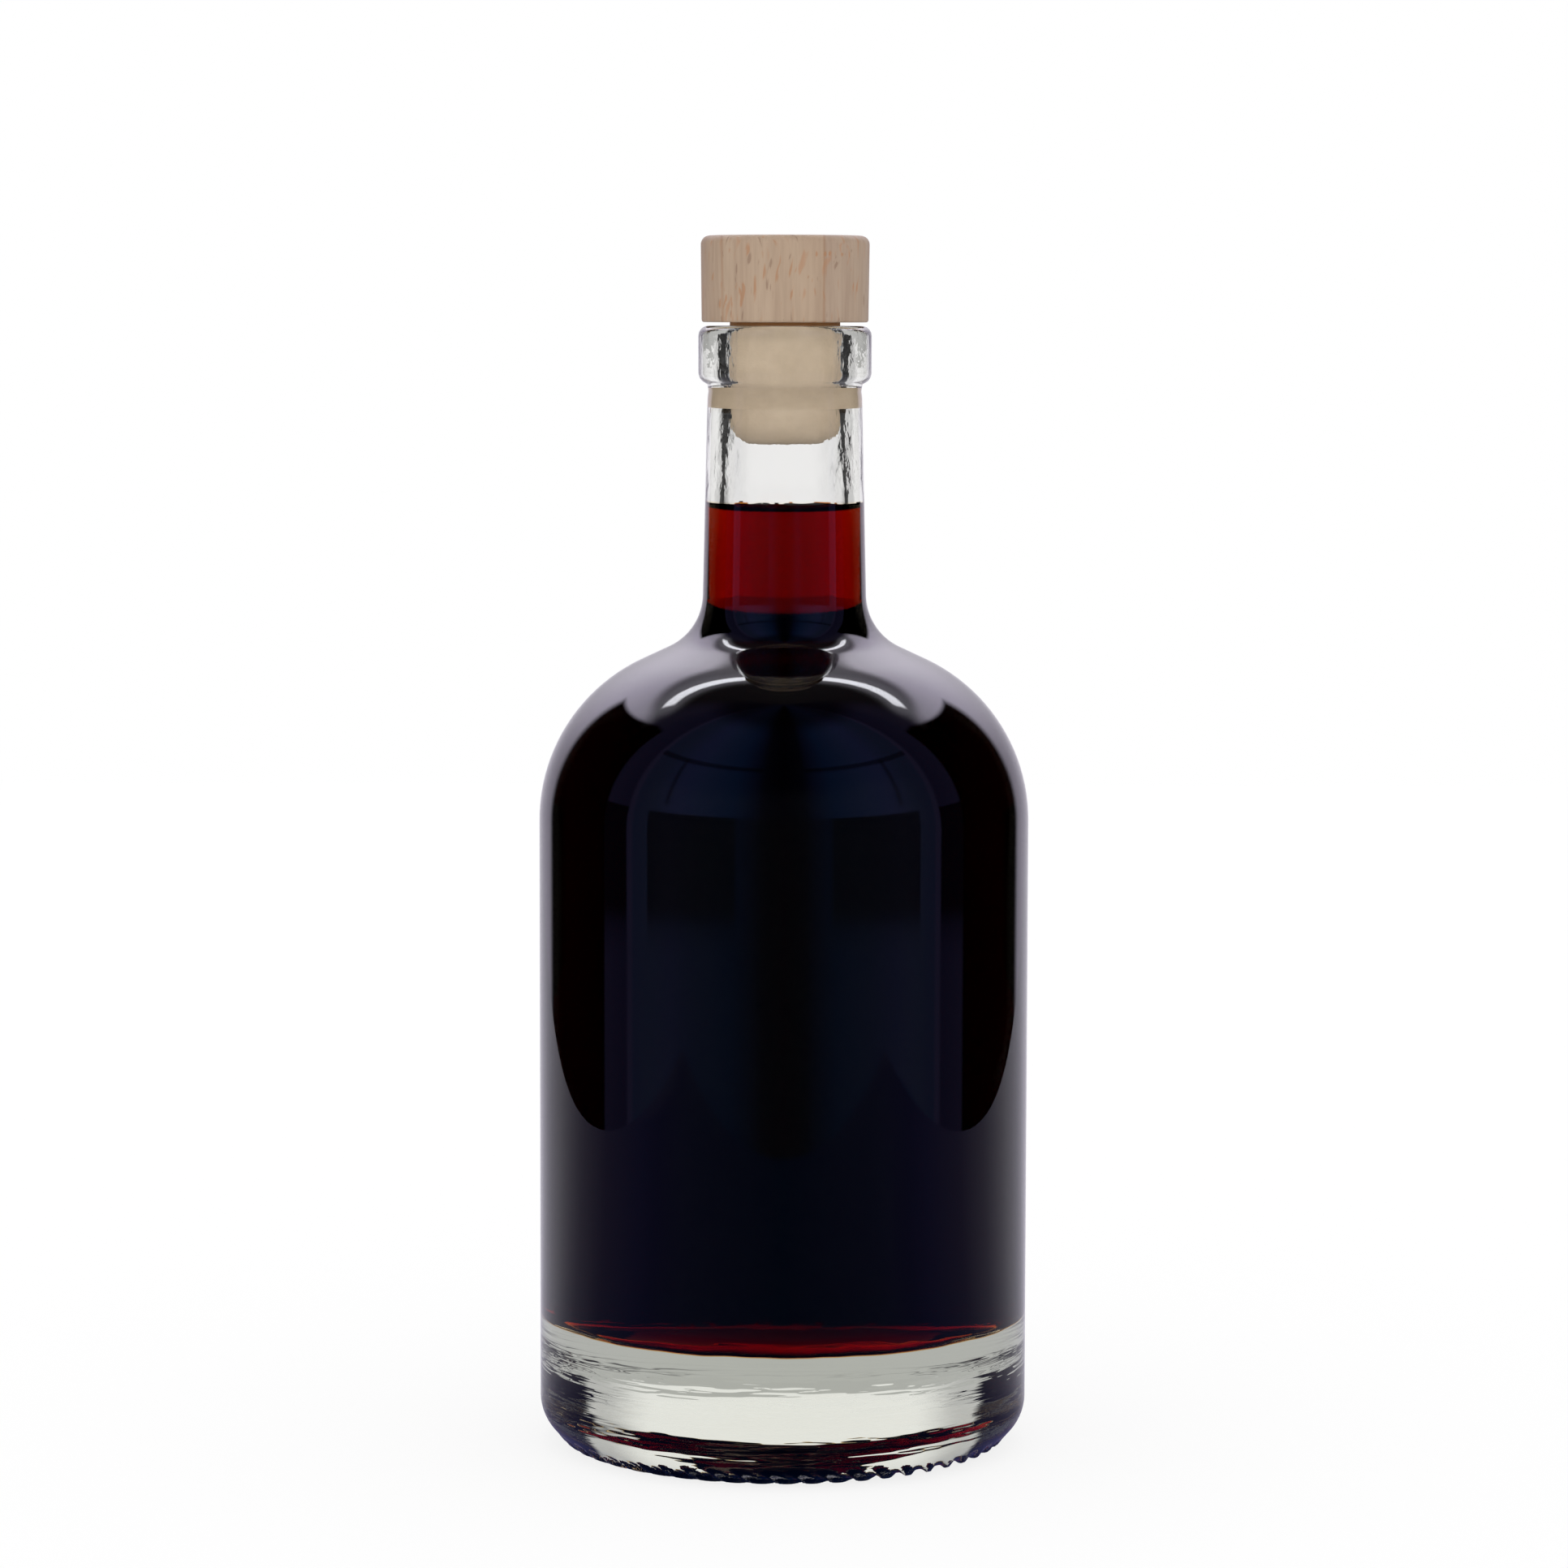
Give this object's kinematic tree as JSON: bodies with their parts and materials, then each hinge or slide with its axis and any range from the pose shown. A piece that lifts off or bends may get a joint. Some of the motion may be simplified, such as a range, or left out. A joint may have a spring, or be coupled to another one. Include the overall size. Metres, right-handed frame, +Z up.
{
  "type": "glass bottle",
  "caption": "Round-shouldered clear glass spirits bottle with a heavy base, filled with dark red liqueur and closed by a wood-headed bar-top stopper.",
  "frame": {"origin": "on the bottle's axis, in the plane that it stands on", "axes": "+Z up along the bottle's axis, from the base to the stopper"},
  "size_m": [0.083, 0.083, 0.2054],
  "materials": {
    "clear_glass": "clear container glass with a faint grey-green tint in its thick base",
    "liqueur": "clear dark red liquid, almost black through the body and red in the neck",
    "synthetic_cork": "fine-celled beige synthetic cork, satin",
    "beech": "pale beech, turned and fine sanded, thin matt lacquer"
  },
  "bodies": {
    "bottle": {"glass_bottle": "clear_glass", "liqueur_fill": "liqueur"},
    "stopper": {"stopper_shank": "synthetic_cork", "stopper_head": "beech"}
  },
  "joints": [
    {"name": "stopper_pull", "type": "slide", "parent": "bottle", "child": "stopper", "axis": [0, 0, 1], "range_m": [0, 0.04]}
  ]
}
